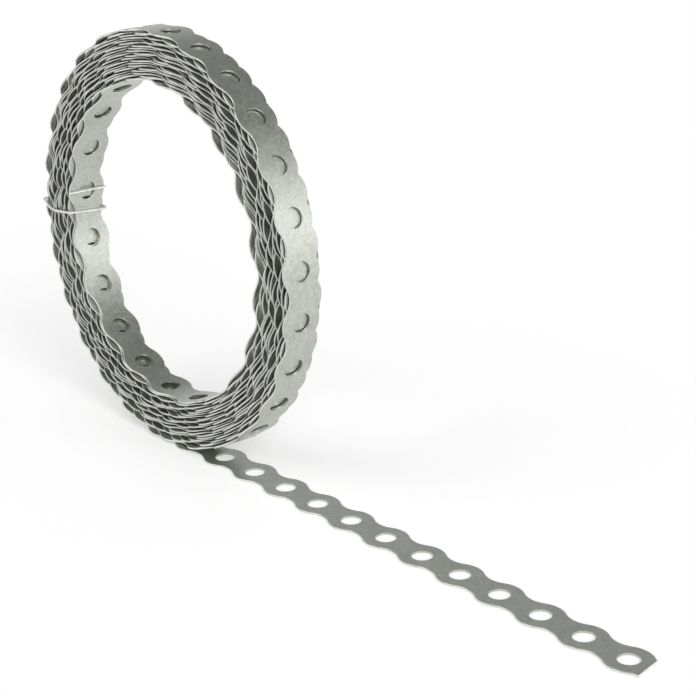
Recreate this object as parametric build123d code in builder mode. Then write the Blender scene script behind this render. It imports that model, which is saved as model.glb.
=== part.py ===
from build123d import *
from math import cos, pi, radians, sin, sqrt, tan
import os

# Perforated steel strap in a coil that stands on its rim, with its outer end lying on the floor.
# Millimetres. The origin is on the floor, at the middle of the object's length and width.
# +X points along the loose end, +Y along the coil's axis and +Z up.

# Strap
strap_width = 17.0          # across the crests of its wavy edges
waist_width = 11.5          # across the waists, midway between two holes
strap_thickness = 0.8
hole_diameter = 8.0
hole_pitch = 20.0           # the edges have one wave for each hole

# Loose end on the floor
tail_holes = 12
first_hole = 29.1           # from under the coil's axis to the first hole that is clear of it
end_margin = 7.9            # from the last hole to the cut end
end_slant = 13.0            # degrees that the cut is off square

# Coil
first_radius = 84.5         # outside of the first half lap
lap_pitch = 1.0             # strap thickness and the slack between two laps
core_laps = 19              # whole laps between the outermost and the innermost one
ridge_width = 16.4          # across the ends of the turned body, at its ridges
valley_width = 13.4         # and at its valleys
free_end_rise = 0.7         # degrees above the axis at which the inner end is cut
free_end_margin = 13.0      # from the inner end to its first hole
run_out = 30.0              # degrees over which a lap's end merges with the turned body
coiled_land = 1.8           # half the straight stretch on each crest and waist of a coiled lap
coiled_hole_sides = 12      # flats round each hole of the coiled laps

# Tie wire
wire_diameter = 1.0
wire_gap = 0.25             # between the wire and the strap
wire_bend = 1.0             # radius of its centre line at the corners
wire_sweep = 4.0            # and where it sweeps down across the near side
wire_sides = 8              # flats round the wire
wire_upper = 8.2            # height above the axis of its upper strand inside the coil
wire_outer = 3.0            # where it crosses the outside of the coil
wire_dip = -1.8             # at the bottom of the sweep
wire_lower = 0.0            # of its lower strand inside the coil
wire_dip_in = 6.0           # from the outside of the coil in to the bottom of the sweep
wire_tail = 10.0            # length of the end that lies on the far side

cut_clear = 0.5             # how far a cutting profile stands off the face it cuts
half_turn = 180.0

# Worked out from these
quarter_wave = hole_pitch / 4
wave_middle = (strap_width + waist_width) / 4
wave_rise = strap_width / 2 - wave_middle
wave_radius = (quarter_wave**2 + wave_rise**2) / (2 * wave_rise)
lap_side = strap_width / 2 - (wave_radius - sqrt(wave_radius**2 - coiled_land**2))
second_radius = first_radius - lap_pitch / 2
core_radius = first_radius - lap_pitch
bore_radius = core_radius - core_laps * lap_pitch
lower_eye_radius = bore_radius - lap_pitch
upper_eye_radius = lower_eye_radius + lap_pitch / 2
wire_offset = wire_gap + wire_diameter / 2
tail_end = first_hole + (tail_holes - 1) * hole_pitch + end_margin
tail_reach = tail_end + waist_width / 2 * tan(radians(end_slant))
back_reach = first_radius + wire_gap + wire_diameter
axis_x = (back_reach - tail_reach) / 2
axis_z = first_radius
coil_axis = Axis((axis_x, 0, axis_z), (0, 1, 0))


def wave_edge(first_crest, arcs, side=1):
    # Arcs of one radius, crest and waist in turn, each a quarter wave to either side of its peak.
    for i in range(arcs):
        x = first_crest + i * hole_pitch / 2
        peak = waist_width / 2 if i % 2 else strap_width / 2
        ThreePointArc(
            (x - quarter_wave, side * wave_middle),
            (x, side * peak),
            (x + quarter_wave, side * wave_middle),
        )


def half_ring(centre, outer, start_angle, sweep=half_turn):
    # One lap pitch thick, seen along the coil's axis.
    x, z = centre
    with BuildLine() as outline:
        outside = CenterArc((x, z), outer, start_angle, sweep)
        inside = CenterArc((x, z), outer - lap_pitch, start_angle, sweep)
        Line(outside @ 0, inside @ 0)
        Line(outside @ 1, inside @ 1)
    make_face(outline.edges())


def outer_plane(run):
    # Plane on the outermost lap, run millimetres back along the strap from under the axis.
    first_half = pi * first_radius
    if run < first_half:
        angle, radius, z = 1.5 * pi - run / first_radius, first_radius, axis_z
    else:
        angle = pi / 2 - (run - first_half) / second_radius
        radius, z = second_radius, axis_z + lap_pitch / 2
    out = Vector(cos(angle), 0, sin(angle))
    along = Vector(-sin(angle), 0, cos(angle))
    return Plane(Vector(axis_x, 0, z) + out * (radius + cut_clear), x_dir=along, z_dir=out)


def inner_plane(run):
    # Plane on the innermost lap, run millimetres back along the strap from its free end.
    lower_half = lower_eye_radius * radians(half_turn + free_end_rise)
    if run < lower_half:
        angle = radians(half_turn - free_end_rise) + run / lower_eye_radius
        radius, x = lower_eye_radius, axis_x
    else:
        angle = (run - lower_half) / upper_eye_radius
        radius, x = upper_eye_radius, axis_x - lap_pitch / 2
    out = Vector(cos(angle), 0, sin(angle))
    along = Vector(-sin(angle), 0, cos(angle))
    return Plane(Vector(x, 0, axis_z) + out * (radius - cut_clear), x_dir=along, z_dir=-out)


def edge_notches():
    # What the wave leaves out of a straight-sided lap between two crests, on both edges. Each is
    # three flats, close to the wave, because there are so many.
    top = hole_pitch / 2 - coiled_land
    for side in (1, -1):
        with BuildLine() as outline:
            Polyline(
                (-top, side * strap_width),
                (-top, side * lap_side),
                (-coiled_land, side * waist_width / 2),
                (coiled_land, side * waist_width / 2),
                (top, side * lap_side),
                (top, side * strap_width),
                close=True,
            )
        make_face(outline.edges())


# Turned body: each lap is one slanting band on both ends, so that the turns show.
with BuildPart() as turned_body:
    with BuildSketch(Plane.YZ.offset(axis_x)):
        with BuildLine():
            ends = []
            for side in (1, -1):
                edge = []
                for i in range(core_laps + 1):
                    width = valley_width if i % 2 else ridge_width
                    edge.append((side * width / 2, axis_z + core_radius - i * lap_pitch))
                Polyline(*edge)
                ends.append(edge)
            Line(ends[0][0], ends[1][0])
            Line(ends[0][-1], ends[1][-1])
        make_face()
    revolve(axis=coil_axis)

# Outermost lap: two half rings that meet without a kink, the second closer in.
first_hole_run = -(first_hole % hole_pitch)
outer_length = pi * first_radius + second_radius * radians(half_turn - run_out)
outer_holes = int((pi * (first_radius + second_radius) - first_hole_run) // hole_pitch)
outer_waves = int((outer_length - first_hole_run) // hole_pitch) + 1
with BuildPart() as outer_lap:
    with BuildSketch(Plane.XZ):
        half_ring((axis_x, axis_z), first_radius, 90)
        half_ring((axis_x, axis_z + lap_pitch / 2), second_radius, run_out - 90, half_turn - run_out)
    extrude(amount=lap_side, both=True)
    # The lap stays full width where the coil stands on it, so the first waist is left out.
    waists = [first_hole_run + (i + 1.5) * hole_pitch for i in range(outer_waves - 1)]
    with BuildSketch(*[outer_plane(run) for run in waists]):
        edge_notches()
    extrude(amount=-3 * lap_pitch, mode=Mode.SUBTRACT)

# Innermost lap, to the free end in the eye of the coil.
inner_length = lower_eye_radius * radians(half_turn + free_end_rise)
inner_length += upper_eye_radius * radians(half_turn - run_out)
inner_holes = int((inner_length + upper_eye_radius * radians(run_out) - free_end_margin) // hole_pitch) + 1
inner_waves = int((inner_length - free_end_margin) // hole_pitch) + 2
with BuildPart() as inner_lap:
    with BuildSketch(Plane.XZ):
        half_ring(
            (axis_x, axis_z),
            lower_eye_radius + lap_pitch,
            half_turn - free_end_rise,
            half_turn + free_end_rise,
        )
        half_ring(
            (axis_x - lap_pitch / 2, axis_z), upper_eye_radius + lap_pitch, 0, half_turn - run_out
        )
    extrude(amount=lap_side, both=True)
    waists = [free_end_margin + (i - 0.5) * hole_pitch for i in range(inner_waves)]
    with BuildSketch(*[inner_plane(run) for run in waists]):
        edge_notches()
    extrude(amount=-3 * lap_pitch, mode=Mode.SUBTRACT)

# Loose end, flat on the floor.
hole_places = [(axis_x + first_hole + i * hole_pitch, 0) for i in range(tail_holes)]
with BuildPart() as loose_end:
    with BuildSketch():
        first_crest = axis_x - first_hole_run - hole_pitch
        last_x = first_crest + (tail_holes + 1.5) * hole_pitch + quarter_wave
        first_x = first_crest - quarter_wave
        with BuildLine():
            for side in (1, -1):
                wave_edge(first_crest, 2 * (tail_holes + 2), side)
            Line((first_x, wave_middle), (first_x, -wave_middle))
            Line((last_x, wave_middle), (last_x, -wave_middle))
        make_face()
        lean = strap_width * tan(radians(end_slant))
        with BuildLine():
            Polyline(
                (axis_x, strap_width),
                (axis_x + tail_end - lean, strap_width),
                (axis_x + tail_end + lean, -strap_width),
                (axis_x, -strap_width),
                close=True,
            )
        make_face(mode=Mode.INTERSECT)
        with Locations(*hole_places):
            Circle(hole_diameter / 2, mode=Mode.SUBTRACT)
    extrude(amount=strap_thickness)

# One rolled piece, with a hole one strap thick at every pitch of its outermost and innermost laps.
with BuildPart() as perforated_strap:
    add(turned_body.part)
    add(outer_lap.part)
    add(inner_lap.part)
    add(loose_end.part)
    outer_runs = [first_hole_run + (i + 1) * hole_pitch for i in range(outer_holes)]
    inner_runs = [free_end_margin + i * hole_pitch for i in range(inner_holes)]
    coiled_planes = [outer_plane(run) for run in outer_runs]
    coiled_planes += [inner_plane(run) for run in inner_runs]
    with BuildSketch(*coiled_planes):
        RegularPolygon(hole_diameter / 2, coiled_hole_sides)
    extrude(amount=-(cut_clear + strap_thickness), mode=Mode.SUBTRACT)
    under_coil = Plane((axis_x - first_hole_run, 0, -cut_clear), z_dir=(0, 0, -1))
    with BuildSketch(under_coil):
        Circle(hole_diameter / 2)
    extrude(amount=-(cut_clear + strap_thickness), mode=Mode.SUBTRACT)

# Tie wire, once and a half round the wound section, on the side away from the loose end.
side_y = strap_width / 2 + wire_offset
outer_x = axis_x - first_radius - wire_offset
lower_x = axis_x - lower_eye_radius + wire_offset
upper_x = axis_x - sqrt(bore_radius**2 - wire_upper**2) + wire_offset
wire_points = [
    (upper_x, -strap_width / 2, axis_z + wire_upper),
    (upper_x, side_y, axis_z + wire_upper),
    (outer_x, side_y, axis_z + wire_outer),
    (outer_x, -side_y, axis_z + wire_outer),
    (outer_x + wire_dip_in, -side_y, axis_z + wire_dip),
    (lower_x, -side_y, axis_z + wire_lower),
    (lower_x, side_y, axis_z + wire_lower),
    (lower_x - wire_tail, side_y, axis_z + wire_lower),
]
wire_radii = [wire_bend, wire_bend, wire_bend, wire_sweep, wire_bend, wire_bend]
with BuildPart() as tie_wire:
    with BuildLine() as wire_path:
        FilletPolyline(*wire_points, radius=wire_radii)
    with BuildSketch(Plane(wire_path.line @ 0, z_dir=wire_path.line % 0)):
        RegularPolygon(wire_diameter / 2, wire_sides)
    sweep()

os.makedirs("parts", exist_ok=True)
perforated_strap.part.label = "perforated_strap"
export_step(perforated_strap.part, "parts/perforated_strap.step")
tie_wire.part.label = "tie_wire"
export_step(tie_wire.part, "parts/tie_wire.step")
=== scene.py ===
from math import cos, pi, radians, sin, sqrt, tan

import bmesh
import bpy
from mathutils import Matrix, Vector


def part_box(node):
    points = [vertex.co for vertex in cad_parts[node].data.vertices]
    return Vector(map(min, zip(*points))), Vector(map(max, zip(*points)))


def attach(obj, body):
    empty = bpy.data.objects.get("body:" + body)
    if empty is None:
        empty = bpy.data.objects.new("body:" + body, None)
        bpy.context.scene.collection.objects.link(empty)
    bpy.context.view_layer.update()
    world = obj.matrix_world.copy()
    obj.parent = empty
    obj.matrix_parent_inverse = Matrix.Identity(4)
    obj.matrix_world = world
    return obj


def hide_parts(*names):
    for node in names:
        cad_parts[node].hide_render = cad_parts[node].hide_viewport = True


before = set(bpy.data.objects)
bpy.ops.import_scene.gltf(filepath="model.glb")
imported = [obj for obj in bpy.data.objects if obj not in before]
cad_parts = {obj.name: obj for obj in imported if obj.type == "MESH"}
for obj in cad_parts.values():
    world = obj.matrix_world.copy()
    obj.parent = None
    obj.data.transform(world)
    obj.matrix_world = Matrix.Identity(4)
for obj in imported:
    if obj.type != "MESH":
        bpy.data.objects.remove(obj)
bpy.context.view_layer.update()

# Galvanised perforated strap in a coil on its rim, its outer end flat on the floor, tied with wire.
mm = 0.001
scene = bpy.context.scene
scene.view_settings.view_transform = "Standard"


# Small helpers for node trees and meshes

def wire(tree, value, socket):
    if isinstance(value, bpy.types.NodeSocket):
        tree.links.new(value, socket)
    else:
        socket.default_value = value


def addNode(tree, kind, inputs=None, **settings):
    node = tree.nodes.new(kind)
    for name, value in settings.items():
        setattr(node, name, value)
    for name, value in (inputs or {}).items():
        wire(tree, value, node.inputs[name])
    return node


def sums(tree):
    # Gives a short way to write arithmetic in a tree: calc("ADD", a, b), or more values in turn
    def calc(operation, *values):
        if len(values) > 2:
            values = (calc(operation, *values[:-1]), values[-1])
        node = addNode(tree, "ShaderNodeMath", operation=operation)
        for i, value in enumerate(values):
            wire(tree, value, node.inputs[i])
        return node.outputs[0]
    return calc


def newTree(name, inputs):
    tree = bpy.data.node_groups.new(name, "GeometryNodeTree")
    tree.interface.new_socket("Geometry", in_out="INPUT", socket_type="NodeSocketGeometry")
    for label, kind in inputs.items():
        tree.interface.new_socket(label, in_out="INPUT", socket_type="NodeSocket" + kind)
    tree.interface.new_socket("Geometry", in_out="OUTPUT", socket_type="NodeSocketGeometry")
    given = tree.nodes.new("NodeGroupInput").outputs
    return tree, given


def endTree(tree, geometry, material):
    calm = addNode(tree, "GeometryNodeRealizeInstances", {"Geometry": geometry})
    painted = addNode(
        tree, "GeometryNodeSetMaterial", {"Geometry": calm.outputs[0], "Material": material}
    )
    out = tree.nodes.new("NodeGroupOutput")
    tree.links.new(painted.outputs[0], out.inputs[0])


def runTree(name, source, tree, values):
    # Runs the tree on the source object and keeps the result as a plain mesh
    modifier = source.modifiers.new(name, "NODES")
    modifier.node_group = tree
    for item in tree.interface.items_tree:
        if item.in_out == "INPUT" and item.name in values:
            modifier[item.identifier] = values[item.name]
    bpy.context.view_layer.update()
    graph = bpy.context.evaluated_depsgraph_get()
    mesh = bpy.data.meshes.new_from_object(
        source.evaluated_get(graph), preserve_all_data_layers=True, depsgraph=graph
    )
    source.modifiers.remove(modifier)
    bpy.data.objects.remove(source)
    mesh.name = name
    piece = bpy.data.objects.new(name, mesh)
    scene.collection.objects.link(piece)
    return piece


def plainObject(name, data):
    thing = bpy.data.objects.new(name, data)
    scene.collection.objects.link(thing)
    return thing


# Galvanised finishes
mottling = {
    "cloudScale": 0.12,            # of the clouds, as a share of the spangles' scale
    "speckShare": 0.3,             # spangles, clouds and grain add up to the mottle
    "cloudShare": 0.4,
    "grainShare": 0.3,
    "rampFrom": 0.2,
    "rampTo": 0.8,
    "darkTone": 0.8,
    "brightTone": 1.2,
    "glossSpread": 0.2,            # how far the mottle varies the roughness
    "edgeGloss": 0.12,             # how much smoother a sheared edge is
    "bumpStrength": 0.5,
    "bumpDepth": 0.0001,
}


def galvanised(name, colour, edgeHighlight, spangles, grain, rough, metal, paintedShadeBetweenTurns=1.0):
    material = bpy.data.materials.new(name)
    material.use_nodes = True
    tree = material.node_tree
    calc = sums(tree)
    shader = tree.nodes["Principled BSDF"]
    place = addNode(tree, "ShaderNodeAttribute", attribute_name="flatPlace").outputs["Vector"]
    rim = addNode(tree, "ShaderNodeAttribute", attribute_name="cutEdge").outputs["Fac"]
    spangle = addNode(tree, "ShaderNodeTexVoronoi", {"Vector": place, "Scale": spangles})
    cloud = addNode(tree, "ShaderNodeTexNoise", {
        "Vector": place, "Scale": spangles * mottling["cloudScale"], "Detail": 5.0,
    })
    fine = addNode(tree, "ShaderNodeTexNoise", {"Vector": place, "Scale": grain, "Detail": 3.0})
    speck = addNode(tree, "ShaderNodeSeparateColor", {"Color": spangle.outputs["Color"]})
    mottle = calc(
        "ADD",
        calc("MULTIPLY", speck.outputs[0], mottling["speckShare"]),
        calc("MULTIPLY", cloud.outputs["Fac"], mottling["cloudShare"]),
        calc("MULTIPLY", fine.outputs["Fac"], mottling["grainShare"]),
    )
    ramp = addNode(tree, "ShaderNodeValToRGB", {"Fac": mottle})
    dark, light = ramp.color_ramp.elements
    dark.position = mottling["rampFrom"]
    dark.color = (*[c * mottling["darkTone"] for c in colour], 1)
    light.position = mottling["rampTo"]
    light.color = (*[min(1, c * mottling["brightTone"]) for c in colour], 1)
    # Painted highlight: the edge faces are mixed towards a bright colour
    bright = addNode(tree, "ShaderNodeMix", data_type="RGBA")
    wire(tree, rim, bright.inputs["Factor"])
    # Painted shade: the colour of the turns inside the coil is darkened where the turns cover each
    # other
    wound = addNode(tree, "ShaderNodeAttribute", attribute_name="wound").outputs["Fac"]
    tone = addNode(tree, "ShaderNodeMix", {"Factor": wound, "A": 1.0, "B": paintedShadeBetweenTurns})
    shadedColour = addNode(tree, "ShaderNodeVectorMath", {
        0: ramp.outputs["Color"], "Scale": tone.outputs["Result"],
    }, operation="SCALE")
    wire(tree, shadedColour.outputs[0], bright.inputs[6])    # the two colours of the mix
    wire(tree, (*edgeHighlight, 1), bright.inputs[7])
    wire(tree, bright.outputs[2], shader.inputs["Base Color"])
    spread = mottling["glossSpread"]
    gloss = calc("ADD", calc("MULTIPLY", mottle, spread), rough - spread / 2)
    smoother = calc("MULTIPLY", rim, mottling["edgeGloss"])
    wire(tree, calc("SUBTRACT", gloss, smoother), shader.inputs["Roughness"])
    relief = addNode(tree, "ShaderNodeBump", {
        "Height": mottle, "Strength": mottling["bumpStrength"], "Distance": mottling["bumpDepth"],
    })
    wire(tree, relief.outputs[0], shader.inputs["Normal"])
    shader.inputs["Metallic"].default_value = metal
    return material


# The strap's edge colour is a painted highlight, and its inner turns get painted shade
strapFinish = galvanised(
    "galvanisedStrap", colour=(0.515, 0.53, 0.485), edgeHighlight=(0.8, 0.81, 0.77),
    spangles=1100.0, grain=3600.0, rough=0.36, metal=0.9,
    # a guess, to bring the coil's sides near the photo's tone
    paintedShadeBetweenTurns=0.42,             # painted shade: share of the colour kept on the turns inside the coil, a guess at how dark it is between the turns
)
wireFinish = galvanised(
    "galvanisedWire", colour=(0.86, 0.86, 0.84), edgeHighlight=(0.86, 0.86, 0.84),
    spangles=1500.0, grain=4000.0, rough=0.3, metal=0.55,
)
print("finishes made")


# Perforated strap
strap = {
    "width": 17.0 * mm,            # across the crests of its wavy edges
    "waist": 11.5 * mm,            # midway between two holes
    "thickness": 0.8 * mm,
    "holeDiameter": 8.0 * mm,
    "pitch": 20.0 * mm,
    "edgeRound": 0.27 * mm,        # bevel of the rolled edges
    "holeFacets": 16,
    "landColumns": 4,              # columns of faces from a hole to the waist
    "tailHoles": 12,
    "firstHole": 29.1 * mm,        # from under the axis to the first hole clear of the coil
    "tailMargin": 7.9 * mm,        # last hole to the cut end
    "tailSlant": 13.0,
    "innerMargin": 13.0 * mm,
    "innerSlant": 8.0,
    "innerRise": 0.7,              # degrees above the axis where the inner end stops
    "halfLaps": 40,                # half turns before the last quarter
    "sideSway": 1.0 * mm,
    "slack": 0.08 * mm,
    "rimGap": 0.35 * mm,           # extra room under the outermost turn
    "eyeGap": 0.3 * mm,            # and behind the innermost one
    "phaseDrift": 12.0 * mm,       # how far the holes of one turn stray from even spacing
    "outerShift": -5.5 * mm,       # puts plain strap behind the holes of the outermost turn
    "innerShift": 3.0 * mm,        # and behind those of the innermost one
    "eyeSag": 0.6 * mm,            # the eye is this much wider away from the wire
    "bevelHighlight": 0.3,             # share of the painted edge highlight that the bevels get
    "weld": 0.001 * mm,            # joins the halves of a cell
    "seamWeld": 0.005 * mm,        # joins the cells of the line
    "seed": 3.0,
}

# Laps from the outer end between which a change sets in; below zero, back from the last lap
turning = {
    "driftStarts": (2.0, 2.6),
    "driftEnds": (-2.6, -1.9),
    "driftRate": 1.9,
    "driftPlace": 17.0,
    "rimShiftStarts": (1.0, 1.4),
    "rimShiftEnds": (2.0, 3.0),
    "eyeShiftStarts": (-2.6, -1.8),
    "eyeShiftTurns": (-1.6, -1.1),
    "eyeShiftBack": -0.5,          # share of the shift on the other side of even spacing
    "eyeShiftEnds": (-0.7, -0.3),
    "slackStarts": (0.8, 1.2),
    "wobbleRate": 6.0,
    "wobblePlace": 40.0,
    "rimGapOpens": (1.0, 1.35),
    "eyeGapOpens": (-1.2, -0.85),
    "swaySteps": ((0.0, 0.5, -0.5), (0.9, 1.3, 1.55), (3.5, 6.5, -0.8), (-1.3, -0.6, -0.9)),
    "looseStarts": (1.6, 4.0),
    "looseEnds": (-2, -1),
    "loosest": 0.9,
    "looseAtEye": 0.3,
    "swayRate": 1.37,
    "swayPlace": 0.0,
    "swayLimit": 1.15,
    "woundStarts": (2.0, 2.4),
    "woundEnds": (-2.2, -1.8),
}
strapLow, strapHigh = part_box("perforated_strap")
coilRadius = (strapHigh.z - strapLow.z) / 2
axisX = strapLow.x + coilRadius
axisZ = coilRadius
boreRadius = 63.5 * mm             # to the inside of the innermost turn
turnDepth = coilRadius - strap["thickness"] - boreRadius - strap["rimGap"] - strap["eyeGap"]
halfStep = turnDepth / strap["halfLaps"]
lengthStep = (coilRadius - boreRadius) / strap["halfLaps"]


def halfWidth(x):
    # Half the strap's width, x along from a hole: arcs of one radius, crest and waist in turn
    quarter = strap["pitch"] / 4
    rise = (strap["width"] - strap["waist"]) / 4
    arc = (quarter**2 + rise**2) / (2 * rise)
    away = abs((x + 2 * quarter) % strap["pitch"] - 2 * quarter)
    if away < quarter:
        return strap["width"] / 2 - arc + sqrt(arc**2 - away**2)
    return strap["waist"] / 2 + arc - sqrt(arc**2 - (2 * quarter - away) ** 2)


def columnsOf(low, high):
    # Places of the columns along one piece of strap, round its hole and out to both ends
    holeRadius = strap["holeDiameter"] / 2
    half = strap["holeFacets"] // 2
    lands = strap["landColumns"]
    middle = [-holeRadius * cos(pi * i / half) for i in range(half + 1)]
    left = [low + (middle[0] - low) * i / lands for i in range(lands)]
    right = [high - (high - middle[-1]) * i / lands for i in range(lands)]
    return left + middle + right[::-1]


def strapPiece(name, low, high, lowSlant=None, highSlant=None):
    # One hole with the strap round it, open at an end unless that end is cut at a slant
    holeRadius = strap["holeDiameter"] / 2
    thick, bevel = strap["thickness"], strap["edgeRound"]
    mesh = bmesh.new()
    cutEdge = mesh.faces.layers.float.new("cutEdge")

    def lean(x, y):
        # Slants the stretch between the hole and a cut end
        if highSlant is not None and x > holeRadius:
            return x + y * tan(radians(highSlant)) * (x - holeRadius) / (high - holeRadius)
        if lowSlant is not None and x < -holeRadius:
            return x + y * tan(radians(lowSlant)) * (x + holeRadius) / (low + holeRadius)
        return x

    def ring(x, side):
        inner = sqrt(max(0.0, holeRadius**2 - x**2))
        outer = halfWidth(lean(x, side * strap["waist"] / 2))
        corners = [
            (inner, 0), (outer - bevel, 0), (outer, bevel),
            (outer, thick - bevel), (outer - bevel, thick), (inner, thick),
        ]
        return [mesh.verts.new((lean(x, side * y), side * y, z)) for y, z in corners]

    columns = columnsOf(low, high)
    ends = {0: [], len(columns) - 1: []}
    for side in (1, -1):
        rings = [ring(x, side) for x in columns]
        for i in range(len(rings) - 1):
            a, b = rings[i], rings[i + 1]
            inHole = abs(columns[i] + columns[i + 1]) / 2 < holeRadius
            for j in range(6 if inHole else 5):
                k = (j + 1) % 6
                face = mesh.faces.new([a[j], a[k], b[k], b[j]][::side])
                # painted highlight: full on an edge's middle face, a share on its bevels
                face[cutEdge] = {1: strap["bevelHighlight"], 2: 1.0, 3: strap["bevelHighlight"]}.get(j, 0.0)
                face.smooth = True
        for place in ends:
            ends[place].append(rings[place])
    for place, slant in ((0, lowSlant), (len(columns) - 1, highSlant)):
        if slant is not None:
            right, left = ends[place]
            turn = 1 if place else -1
            for half, way in ((right, turn), (left, -turn)):
                face = mesh.faces.new(half[::way])
                # painted highlight: full on a cut end
                face[cutEdge] = 1.0
    bmesh.ops.remove_doubles(mesh, verts=mesh.verts, dist=strap["weld"])
    mesh.normal_update()
    for edge in mesh.edges:
        flat = [abs(face.normal.z) > 0.99 for face in edge.link_faces]
        edge.smooth = not any(flat) or all(flat)     # only the rolled edges are shaded round
    data = bpy.data.meshes.new(name)
    mesh.to_mesh(data)
    mesh.free()
    return plainObject(name, data)


def rollTree():
    # Lays pieces of strap in one flat line, then rolls the line into half turns of falling radius
    tree, given = newTree("rollStrap", {
        "Tail end": "Object", "Inner end": "Object", "Pieces": "Int", "Pitch": "Float",
        "First place": "Float", "Stretch": "Float", "Coil radius": "Float", "Axis X": "Float",
        "Half-lap step": "Float", "Length step": "Float", "Side sway": "Float", "Slack": "Float",
        "Phase drift": "Float", "Outer shift": "Float", "Inner shift": "Float", "Eye sag": "Float",
        "Rim gap": "Float", "Eye gap": "Float",
        "Seed": "Float", "Material": "Material",
    })
    calc = sums(tree)
    radius, step, lengthDrop = given["Coil radius"], given["Half-lap step"], given["Length step"]

    def along(x):
        return addNode(tree, "ShaderNodeCombineXYZ", {"X": x}).outputs[0]

    def blend(value, low, high, fromValue, toValue):
        node = addNode(tree, "ShaderNodeMapRange", {
            "Value": value, "From Min": low, "From Max": high,
            "To Min": fromValue, "To Max": toValue,
        }, interpolation_type="SMOOTHSTEP")
        return node.outputs[0]

    def noise(place, shift):
        node = addNode(tree, "ShaderNodeTexNoise", {
            "W": calc("ADD", place, calc("ADD", given["Seed"], shift)),
            "Scale": 1.0, "Detail": 1.0,
        }, noise_dimensions="1D")
        return calc("MULTIPLY", calc("SUBTRACT", node.outputs[0], 0.5), 2.0)

    line = addNode(tree, "GeometryNodeMeshLine", {
        "Count": given["Pieces"], "Start Location": along(given["First place"]),
        "Offset": along(calc("MULTIPLY", given["Pitch"], -1.0)),
    })
    row = addNode(tree, "GeometryNodeInstanceOnPoints", {
        "Points": line.outputs[0], "Instance": given["Geometry"],
    })
    cells = addNode(tree, "GeometryNodeRealizeInstances", {"Geometry": row.outputs[0]})
    parts = [cells.outputs[0]]
    rowLength = calc("MULTIPLY", given["Pitch"], given["Pieces"])
    lastPlace = calc("SUBTRACT", given["First place"], rowLength)
    tailPlace = calc("ADD", given["First place"], given["Pitch"])
    for label, place in (("Tail end", tailPlace), ("Inner end", lastPlace)):
        source = addNode(tree, "GeometryNodeObjectInfo", {"Object": given[label]})
        moved = addNode(tree, "GeometryNodeTransform", {
            "Geometry": source.outputs["Geometry"], "Translation": along(place),
        })
        parts.append(moved.outputs[0])
    joined = tree.nodes.new("GeometryNodeJoinGeometry")
    for part in parts:
        tree.links.new(part, joined.inputs[0])
    whole = addNode(tree, "GeometryNodeMergeByDistance", {
        "Geometry": joined.outputs[0], "Distance": strap["seamWeld"],
    })
    position = tree.nodes.new("GeometryNodeInputPosition").outputs[0]
    kept = addNode(tree, "GeometryNodeStoreNamedAttribute", {
        "Geometry": whole.outputs[0], "Name": "flatPlace", "Value": position,
    }, data_type="FLOAT_VECTOR", domain="POINT")
    flat = addNode(tree, "ShaderNodeSeparateXYZ", {"Vector": position}).outputs

    wide = calc("ADD", radius, calc("MULTIPLY", lengthDrop, 0.5))   # root of the sum of half turns
    lastLap = strap["halfLaps"] / 2

    def halfTurns(run):
        under = calc("SUBTRACT", calc("MULTIPLY", wide, wide),
                     calc("MULTIPLY", lengthDrop, run, 2.0 / pi))
        return calc("DIVIDE", calc("SUBTRACT", wide, calc("SQRT", under)), lengthDrop)

    def between(value, laps, fromValue=0.0, toValue=1.0):
        low, high = [lastLap + place if place < 0 else place for place in laps]
        return blend(value, low, high, fromValue, toValue)

    # The holes drift along the middle turns, and stay put on the turns that are seen whole
    run = calc("MULTIPLY", calc("MAXIMUM", calc("MULTIPLY", flat[0], -1.0), 0.0), given["Stretch"])
    roughLap = calc("MULTIPLY", halfTurns(run), 0.5)
    free = calc("MULTIPLY", between(roughLap, turning["driftStarts"]),
                between(roughLap, turning["driftEnds"], 1.0, 0.0))
    stray = noise(calc("MULTIPLY", roughLap, turning["driftRate"]), turning["driftPlace"])
    drift = calc("MULTIPLY", stray, free, given["Phase drift"])
    atRim = calc("MULTIPLY", between(roughLap, turning["rimShiftStarts"]),
                 between(roughLap, turning["rimShiftEnds"], 1.0, 0.0))
    atEye = calc("MULTIPLY", between(roughLap, turning["eyeShiftStarts"]),
                 between(roughLap, turning["eyeShiftTurns"], 1.0, turning["eyeShiftBack"]),
                 between(roughLap, turning["eyeShiftEnds"], 1.0, 0.0))
    drift = calc("ADD", drift, calc("MULTIPLY", atRim, given["Outer shift"]),
                 calc("MULTIPLY", atEye, given["Inner shift"]))
    run = calc("ADD", run, drift)
    turns = calc("FLOOR", halfTurns(run))
    pairs = calc("MULTIPLY", turns, calc("SUBTRACT", turns, 1.0))
    lost = calc("MULTIPLY", calc("MULTIPLY", lengthDrop, 0.5), pairs)
    before = calc("MULTIPLY", calc("SUBTRACT", calc("MULTIPLY", turns, radius), lost), pi)
    measured = calc("SUBTRACT", radius, calc("MULTIPLY", lengthDrop, turns))
    beyond = calc("DIVIDE", calc("SUBTRACT", run, before), measured)
    angle = calc("ADD", calc("MULTIPLY", turns, pi), beyond)
    lap = calc("DIVIDE", angle, 2 * pi)
    held = calc("MULTIPLY", calc("SUBTRACT", 1.0, calc("SINE", angle)), 0.5)   # none at the wire

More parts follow.
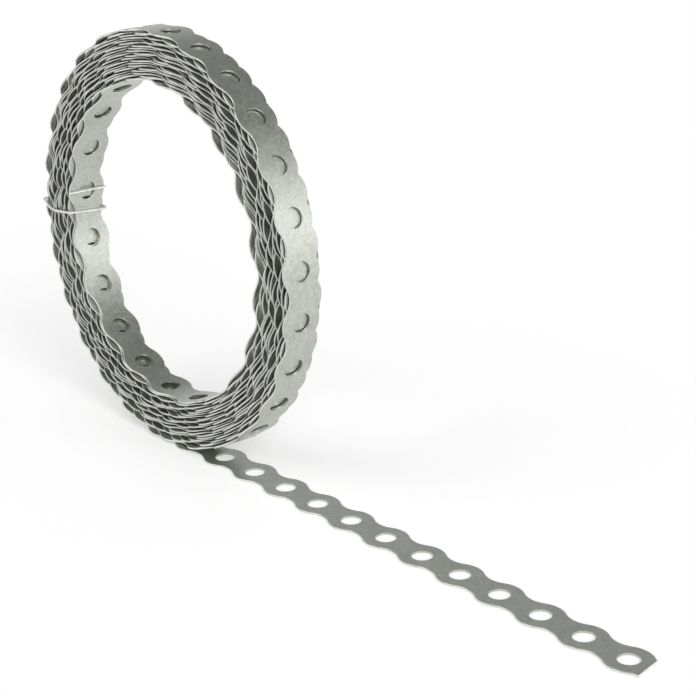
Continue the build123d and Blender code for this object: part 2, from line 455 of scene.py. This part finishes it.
    looseness = calc("MULTIPLY", between(lap, turning["slackStarts"]), given["Slack"])
    ripple = noise(calc("MULTIPLY", lap, turning["wobbleRate"]), turning["wobblePlace"])
    wobble = calc("MULTIPLY", ripple, looseness)
    depth = calc("MULTIPLY", blend(lap, 0.0, lastLap, 0.0, 1.0), given["Eye sag"])
    wobble = calc("ADD", wobble, calc("MULTIPLY", depth, held))
    wobble = calc("SUBTRACT", wobble,
                  calc("MULTIPLY", between(lap, turning["rimGapOpens"]), given["Rim gap"]),
                  calc("MULTIPLY", between(lap, turning["eyeGapOpens"]), given["Eye gap"]))
    fallen = calc("SUBTRACT", radius, calc("MULTIPLY", step, turns), flat[2])
    turnRadius = calc("ADD", fallen, wobble)
    centreZ = calc("ADD", radius, calc("MULTIPLY", calc("MODULO", turns, 2.0), step))
    x = calc("SUBTRACT", given["Axis X"], calc("MULTIPLY", turnRadius, calc("SINE", angle)))
    x = calc("ADD", x, calc("MAXIMUM", flat[0], 0.0))
    z = calc("SUBTRACT", centreZ, calc("MULTIPLY", turnRadius, calc("COSINE", angle)))

    # The turns sway sideways, least where the wire holds them
    sideSteps = [between(lap, steps[:2], 0.0, steps[2]) for steps in turning["swaySteps"]]
    bias = calc("ADD", *sideSteps)
    loose = calc("MULTIPLY", between(lap, turning["looseStarts"], 0.0, turning["loosest"]),
                 between(lap, turning["looseEnds"], 1.0, turning["looseAtEye"]))
    stray = noise(calc("MULTIPLY", lap, turning["swayRate"]), turning["swayPlace"])
    sway = calc("ADD", bias, calc("MULTIPLY", stray, loose))
    limit = turning["swayLimit"]
    sway = calc("MINIMUM", calc("MAXIMUM", sway, -limit), limit)
    y = calc("ADD", flat[1], calc("MULTIPLY", sway, held, given["Side sway"]))

    # Painted shade: marks the turns inside the coil, whose colour the finish darkens
    inside = calc("MULTIPLY", between(lap, turning["woundStarts"]),
                  between(lap, turning["woundEnds"], 1.0, 0.0))
    covered = addNode(tree, "GeometryNodeStoreNamedAttribute", {
        "Geometry": kept.outputs[0], "Name": "wound", "Value": inside,
    }, data_type="FLOAT", domain="POINT")
    rolled = addNode(tree, "GeometryNodeSetPosition", {
        "Geometry": covered.outputs[0],
        "Position": addNode(tree, "ShaderNodeCombineXYZ", {"X": x, "Y": y, "Z": z}).outputs[0],
    })
    endTree(tree, rolled.outputs[0], given["Material"])
    return tree


def rolledLength():
    # Along the strap from under the axis to its inner end
    turns = strap["halfLaps"]
    whole = pi * (turns * coilRadius - lengthStep * turns * (turns - 1) / 2)
    return whole + (coilRadius - lengthStep * turns) * radians(90 + strap["innerRise"])


def makeStrap():
    pitch = strap["pitch"]
    cell = strapPiece("strapCell", -pitch / 2, pitch / 2)
    tailEnd = strapPiece(
        "strapTailEnd", -pitch / 2, strap["tailMargin"], highSlant=-strap["tailSlant"]
    )
    innerEnd = strapPiece(
        "strapInnerEnd", -strap["innerMargin"], pitch / 2, lowSlant=strap["innerSlant"]
    )
    firstPlace = strap["firstHole"] + (strap["tailHoles"] - 2) * pitch
    length = rolledLength()
    pieces = round((firstPlace + length - strap["innerMargin"]) / pitch)
    flatLength = pieces * pitch - firstPlace + strap["innerMargin"]
    piece = runTree("strapRolled", cell, rollTree(), {
        "Tail end": tailEnd, "Inner end": innerEnd, "Pieces": pieces, "Pitch": pitch,
        "First place": firstPlace, "Stretch": length / flatLength, "Coil radius": coilRadius,
        "Axis X": axisX, "Half-lap step": halfStep, "Length step": lengthStep,
        "Side sway": strap["sideSway"], "Slack": strap["slack"], "Seed": strap["seed"],
        "Phase drift": strap["phaseDrift"], "Outer shift": strap["outerShift"],
        "Inner shift": strap["innerShift"], "Eye sag": strap["eyeSag"],
        "Rim gap": strap["rimGap"], "Eye gap": strap["eyeGap"],
        "Material": strapFinish,
    })
    for used in (tailEnd, innerEnd):
        bpy.data.objects.remove(used)
    return piece


strapPieceDone = makeStrap()
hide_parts("perforated_strap")
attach(strapPieceDone, "root")
print("strap rolled:", len(strapPieceDone.data.polygons), "faces")


# Tie wire
tie = {
    "diameter": 1.0 * mm,
    "gap": 0.05 * mm,              # air to the strap
    "bend": 1.2 * mm,
    "sweep": 12.0 * mm,            # the wide bend of the lower strand
    "upper": 8.2 * mm,             # heights above the axis: the upper strand in the eye,
    "outer": 1.9 * mm,             # the crossing outside the coil,
    "dip": -1.8 * mm,              # the lowest place of the lower strand
    "lower": 0.0,                  # and its end in the eye
    "dipIn": 6.0 * mm,
    "lapStep": 1.0 * mm,           # keeps the upper strand off the innermost turn
    "drop": 1.1 * mm,              # how much lower it leaves on the far side
    "tuck": 1.6 * mm,
    "end": 10.0 * mm,
    "facets": 14,
}


def tieTree():
    tree, given = newTree("bendWire", {
        "Radius": "Float", "Facets": "Int", "Material": "Material",
    })
    bends = tree.nodes.new("GeometryNodeInputRadius").outputs[0]
    rounded = addNode(tree, "GeometryNodeFilletCurve", {
        "Curve": given["Geometry"], "Radius": bends, "Count": 6, "Limit Radius": True,
    }, mode="POLY")
    even = addNode(tree, "GeometryNodeSetCurveRadius", {"Curve": rounded.outputs[0], "Radius": 1.0})
    section = addNode(tree, "GeometryNodeCurvePrimitiveCircle", {
        "Resolution": given["Facets"], "Radius": given["Radius"],
    })
    tube = addNode(tree, "GeometryNodeCurveToMesh", {
        "Curve": even.outputs[0], "Profile Curve": section.outputs[0], "Fill Caps": True,
    })
    position = tree.nodes.new("GeometryNodeInputPosition").outputs[0]
    kept = addNode(tree, "GeometryNodeStoreNamedAttribute", {
        "Geometry": tube.outputs[0], "Name": "flatPlace", "Value": position,
    }, data_type="FLOAT_VECTOR", domain="POINT")
    endTree(tree, kept.outputs[0], given["Material"])
    return tree


def makeTie():
    stand = tie["gap"] + tie["diameter"] / 2
    sideY = strap["width"] / 2 + stand
    outerX = axisX - coilRadius - stand
    lowerX = axisX - boreRadius + stand
    upperX = axisX - sqrt((boreRadius + tie["lapStep"]) ** 2 - tie["upper"] ** 2) + stand
    route = [
        (upperX, -strap["width"] / 2, tie["upper"], 0.0),
        (upperX, sideY, tie["upper"], tie["bend"]),
        (outerX, sideY, tie["outer"], tie["bend"]),
        (outerX, -sideY, tie["outer"], tie["bend"]),
        (outerX + tie["dipIn"], -sideY, tie["dip"], tie["sweep"]),
        (lowerX, -sideY, tie["lower"], tie["bend"]),
        (lowerX, sideY - tie["tuck"], tie["lower"] - tie["drop"], tie["bend"]),
        (lowerX - tie["tuck"], sideY, tie["lower"] - tie["drop"], tie["bend"]),
        (lowerX - tie["end"], sideY, tie["lower"] - tie["drop"], 0.0),
    ]
    curve = bpy.data.curves.new("tieRoute", "CURVE")
    curve.dimensions = "3D"
    spline = curve.splines.new("POLY")
    spline.points.add(len(route) - 1)
    for point, (x, y, z, bend) in zip(spline.points, route):
        point.co = (x, y, axisZ + z, 1.0)
        point.radius = bend
    return runTree("tieWireRound", plainObject("tieRoute", curve), tieTree(), {
        "Radius": tie["diameter"] / 2, "Facets": tie["facets"], "Material": wireFinish,
    })


tiePiece = makeTie()
tiePiece.data.shade_smooth()
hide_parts("tie_wire")
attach(tiePiece, "root")
print("tie wire bent:", len(tiePiece.data.polygons), "faces")


# Studio
studio = {
    "floorSize": 12.0,
    "floorDrop": 0.02 * mm,
    "floorColour": (0.88, 0.88, 0.88, 1),
    "floorLift": 0.27,             # what the camera sees on top of the floor's own light
    "ambient": 0.5,
    "ceiling": 0.22,
    "ceilingStart": 0.68,          # height of a mirrored ray where the ceiling is darkest
    "boxWay": (0.81, 0.58, 0.0),   # towards the soft box that the metal mirrors
    "boxEdge": 0.6,
    "boxLevel": 0.9,
    "keyEnergy": 1.6,
    "keyAngle": 40.0,
    "keyTurn": (62.0, 0.0, 75.0),
    "fillEnergy": 0.5,
    "fillTurn": (50.0, 0.0, -20.0),
}


def makeFloor():
    half = studio["floorSize"] / 2
    data = bpy.data.meshes.new("studioFloor")
    corners = [(-half, -half), (half, -half), (half, half), (-half, half)]
    data.from_pydata([(x, y, -studio["floorDrop"]) for x, y in corners], [], [(0, 1, 2, 3)])
    material = bpy.data.materials.new("paleFloor")
    material.use_nodes = True
    tree = material.node_tree
    tree.nodes.remove(tree.nodes["Principled BSDF"])
    matt = addNode(tree, "ShaderNodeBsdfDiffuse", {"Color": studio["floorColour"]})
    path = tree.nodes.new("ShaderNodeLightPath").outputs
    calc = sums(tree)
    viewed = calc("MAXIMUM", path["Is Camera Ray"], path["Is Glossy Ray"])
    seen = calc("MULTIPLY", viewed, studio["floorLift"])
    glow = addNode(tree, "ShaderNodeEmission", {"Strength": seen})
    both = tree.nodes.new("ShaderNodeAddShader")
    tree.links.new(matt.outputs[0], both.inputs[0])
    tree.links.new(glow.outputs[0], both.inputs[1])
    tree.links.new(both.outputs[0], tree.nodes["Material Output"].inputs["Surface"])
    data.materials.append(material)
    floor = plainObject("studioFloor", data)


def makeWorld():
    world = bpy.data.worlds.new("studioWorld")
    scene.world = world
    world.use_nodes = True
    tree = world.node_tree
    calc = sums(tree)
    path = tree.nodes.new("ShaderNodeLightPath").outputs
    way = tree.nodes.new("ShaderNodeTexCoord").outputs["Generated"]
    height = addNode(tree, "ShaderNodeSeparateXYZ", {"Vector": way}).outputs[2]
    ceiling = addNode(tree, "ShaderNodeMapRange", {
        "Value": height, "From Min": 0.0, "From Max": studio["ceilingStart"],
        "To Min": 1.0, "To Max": studio["ceiling"],
    }, interpolation_type="SMOOTHSTEP").outputs[0]
    toBox = addNode(tree, "ShaderNodeVectorMath", {
        0: way, 1: studio["boxWay"],
    }, operation="DOT_PRODUCT")
    softBox = addNode(tree, "ShaderNodeMapRange", {
        "Value": toBox.outputs["Value"], "From Min": studio["boxEdge"], "From Max": 1.0,
        "To Min": 0.0, "To Max": studio["boxLevel"],
    }, interpolation_type="SMOOTHSTEP").outputs[0]
    mirror = calc("MAXIMUM", path["Is Glossy Ray"], path["Is Transmission Ray"])
    mirrored = calc("MULTIPLY", mirror, calc("ADD", ceiling, softBox))
    level = calc("ADD", path["Is Camera Ray"], mirrored)
    plain = calc("SUBTRACT", 1.0, calc("MAXIMUM", path["Is Camera Ray"], mirror))
    strength = calc("ADD", level, calc("MULTIPLY", plain, studio["ambient"]))
    wire(tree, strength, tree.nodes["Background"].inputs["Strength"])
    tree.nodes["Background"].inputs["Color"].default_value = (1, 1, 1, 1)


def makeSun(name, energy, turn, angle):
    lamp = bpy.data.lights.new(name, "SUN")
    lamp.energy = energy
    lamp.angle = radians(angle)
    sun = plainObject(name, lamp)
    sun.rotation_euler = [radians(a) for a in turn]


makeFloor()
makeWorld()
makeSun("keyLight", studio["keyEnergy"], studio["keyTurn"], studio["keyAngle"])
makeSun("fillLight", studio["fillEnergy"], studio["fillTurn"], studio["keyAngle"])
print("studio lit")


# Camera, at the photograph's angle
view = {
    "azimuth": 51.497,
    "elevation": 19.672,
    "roll": -1.2,
    "distance": 703.436 * mm,
    "targetFromAxis": 109.316 * mm,
    "targetHeight": 68.38 * mm,
    "focal": 101.66,
    "sensor": 36.0,
    "nearest": 10 * mm,
    "farthest": 50.0,
}


def makeCamera():
    around, up, roll = (radians(view[k]) for k in ("azimuth", "elevation", "roll"))
    back = Vector((sin(around) * cos(up), -cos(around) * cos(up), sin(up)))
    right = Vector((cos(around), sin(around), 0))
    top = back.cross(right)
    right, top = cos(roll) * right + sin(roll) * top, cos(roll) * top - sin(roll) * right
    target = Vector((axisX + view["targetFromAxis"], 0, view["targetHeight"]))
    camera = bpy.data.cameras.new("photoCamera")
    camera.lens = view["focal"]
    camera.sensor_width = view["sensor"]
    camera.clip_start = view["nearest"]
    camera.clip_end = view["farthest"]
    holder = plainObject("photoCamera", camera)
    turned = Matrix((right, top, back)).transposed().to_4x4()
    holder.matrix_world = Matrix.Translation(target + back * view["distance"]) @ turned
    scene.camera = holder


makeCamera()
print("camera set")
